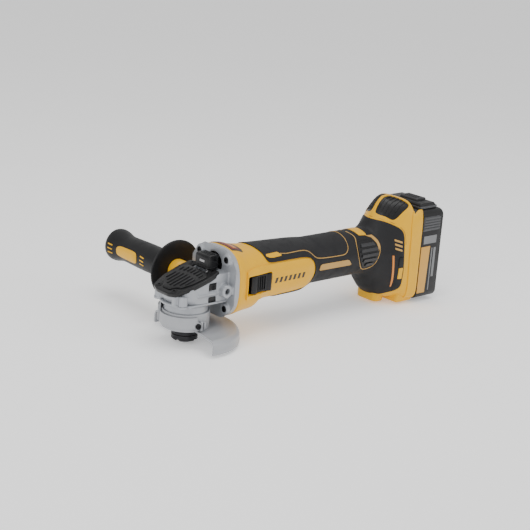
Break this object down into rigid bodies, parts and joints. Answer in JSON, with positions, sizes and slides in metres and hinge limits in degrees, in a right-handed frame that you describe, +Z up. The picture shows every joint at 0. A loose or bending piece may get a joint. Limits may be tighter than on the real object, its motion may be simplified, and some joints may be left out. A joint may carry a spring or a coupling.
{
  "type": "angle grinder",
  "caption": "Cordless angle grinder with side handle, quick-release wheel guard, bevel gear head, slide switch and a sliding battery pack.",
  "frame": {"origin": "spindle axis at the face of the backing flange that the wheel seats against", "axes": "+X runs from the spindle back along the motor to the battery, +Y runs along the side handle, +Z is up; the spindle points down, along -Z"},
  "size_m": [0.4034, 0.2351, 0.133],
  "materials": {
    "yellow_plastic": "semi-gloss moulded",
    "black_rubber": "matte overmould",
    "cast_grey": "satin die-cast",
    "guard_grey": "satin",
    "black_plastic": "satin moulded",
    "black_oxide": "black oxide",
    "steel": "ground",
    "screw_steel": "dark zinc",
    "copper": "enamelled winding",
    "iron": "laminated",
    "board_green": "coated board",
    "cell_sleeve": "shrink sleeve",
    "dark_grey_plastic": "moulded",
    "brass": "plated contact"
  },
  "bodies": {
    "housing": {"gear_case": "cast_grey", "bearing_box": "cast_grey", "top_plate": "black_plastic", "top_plate_screws": "screw_steel", "bearing_box_screws": "screw_steel", "gear_case_screws": "screw_steel", "bearing_retainer": "steel", "lower_bearing": "steel", "upper_bearing": "steel", "lock_spring": "steel", "motor_front_bearing": "steel", "motor_rear_bearing": "steel", "stator": "iron", "stator_windings": "copper", "fan_baffle": "black_plastic", "housing_left": "yellow_plastic", "housing_right": "yellow_plastic", "grip_skin_left": "black_rubber", "grip_skin_right": "black_rubber", "housing_screws": "screw_steel", "vent_cover_left": "black_plastic", "vent_cover_right": "black_plastic", "foot_grille": "black_plastic", "switch_module": "black_plastic", "controller_board": "dark_grey_plastic", "wiring": "black_rubber", "terminal_block": "black_plastic"},
    "spindle": {"spindle": "steel", "crown_gear": "steel", "backing_flange": "black_oxide"},
    "nut": {"clamp_nut": "black_oxide"},
    "rotor": {"motor_shaft": "steel", "pinion": "steel", "rotor_core": "iron", "cooling_fan": "dark_grey_plastic"},
    "lock": {"spindle_lock_button": "black_plastic", "spindle_lock_pin": "steel"},
    "guard": {"wheel_guard": "guard_grey", "guard_collar": "guard_grey", "guard_lever_screw": "screw_steel"},
    "guard_lever": {"guard_release_lever": "guard_grey"},
    "side_handle": {"handle_stud": "steel", "handle_grip": "black_rubber", "handle_hub": "yellow_plastic"},
    "switch": {"slide_switch": "black_plastic", "switch_rod": "black_plastic"},
    "battery": {"battery_case": "dark_grey_plastic", "battery_rail_cover": "black_plastic", "battery_screws": "screw_steel", "battery_cells": "cell_sleeve", "cell_holder": "black_plastic", "battery_board": "board_green", "battery_contacts": "brass"},
    "battery_latch": {"battery_latch_button": "dark_grey_plastic"},
    "gauge": {"gauge_button": "black_rubber"}
  },
  "joints": [
    {"name": "spindle_spin", "type": "hinge", "parent": "housing", "child": "spindle", "pos_m": [0, 0, 0], "axis": [0, 0, 1], "continuous": true},
    {"name": "rotor_spin", "type": "hinge", "parent": "housing", "child": "rotor", "pos_m": [0.09, 0, 0.0537], "axis": [1, 0, 0], "continuous": true},
    {"name": "clamp_nut_unscrew", "type": "slide", "parent": "spindle", "child": "nut", "axis": [0, 0, -1], "range_m": [0, 0.03]},
    {"name": "spindle_lock_press", "type": "slide", "parent": "housing", "child": "lock", "axis": [0, 0, -1], "range_m": [0, 0.004], "stiffness_N_per_m": 600, "springref_m": -0.002, "deforming": ["lock_spring"]},
    {"name": "guard_turn", "type": "hinge", "parent": "housing", "child": "guard", "pos_m": [0, 0, 0], "axis": [0, 0, 1], "range_deg": [-110, 110]},
    {"name": "guard_lever_press", "type": "hinge", "parent": "guard", "child": "guard_lever", "pos_m": [-0.00465, -0.02639, 0.0155], "axis": [-0.1736, -0.9848, 0], "range_deg": [0, 3], "stiffness_Nm_per_rad": 0.6, "springref_deg": -2.86},
    {"name": "side_handle_unscrew", "type": "slide", "parent": "housing", "child": "side_handle", "axis": [0, 1, 0], "range_m": [0, 0.03]},
    {"name": "slide_switch_press", "type": "slide", "parent": "housing", "child": "switch", "axis": [-1, 0, 0], "range_m": [0, 0.006], "stiffness_N_per_m": 250, "springref_m": -0.004},
    {"name": "battery_slide", "type": "slide", "parent": "housing", "child": "battery", "axis": [0, 0, 1], "range_m": [0, 0.12]},
    {"name": "battery_latch_press", "type": "slide", "parent": "battery", "child": "battery_latch", "axis": [0, 0, -1], "range_m": [0, 0.0025], "stiffness_N_per_m": 500, "springref_m": -0.002},
    {"name": "gauge_press", "type": "slide", "parent": "battery", "child": "gauge", "axis": [-1, 0, 0], "range_m": [0, 0.0008], "stiffness_N_per_m": 300, "springref_m": -0.001}
  ],
  "couplings": [
    {"joint": "rotor_spin", "follows": "spindle_spin", "ratio": 3}
  ]
}
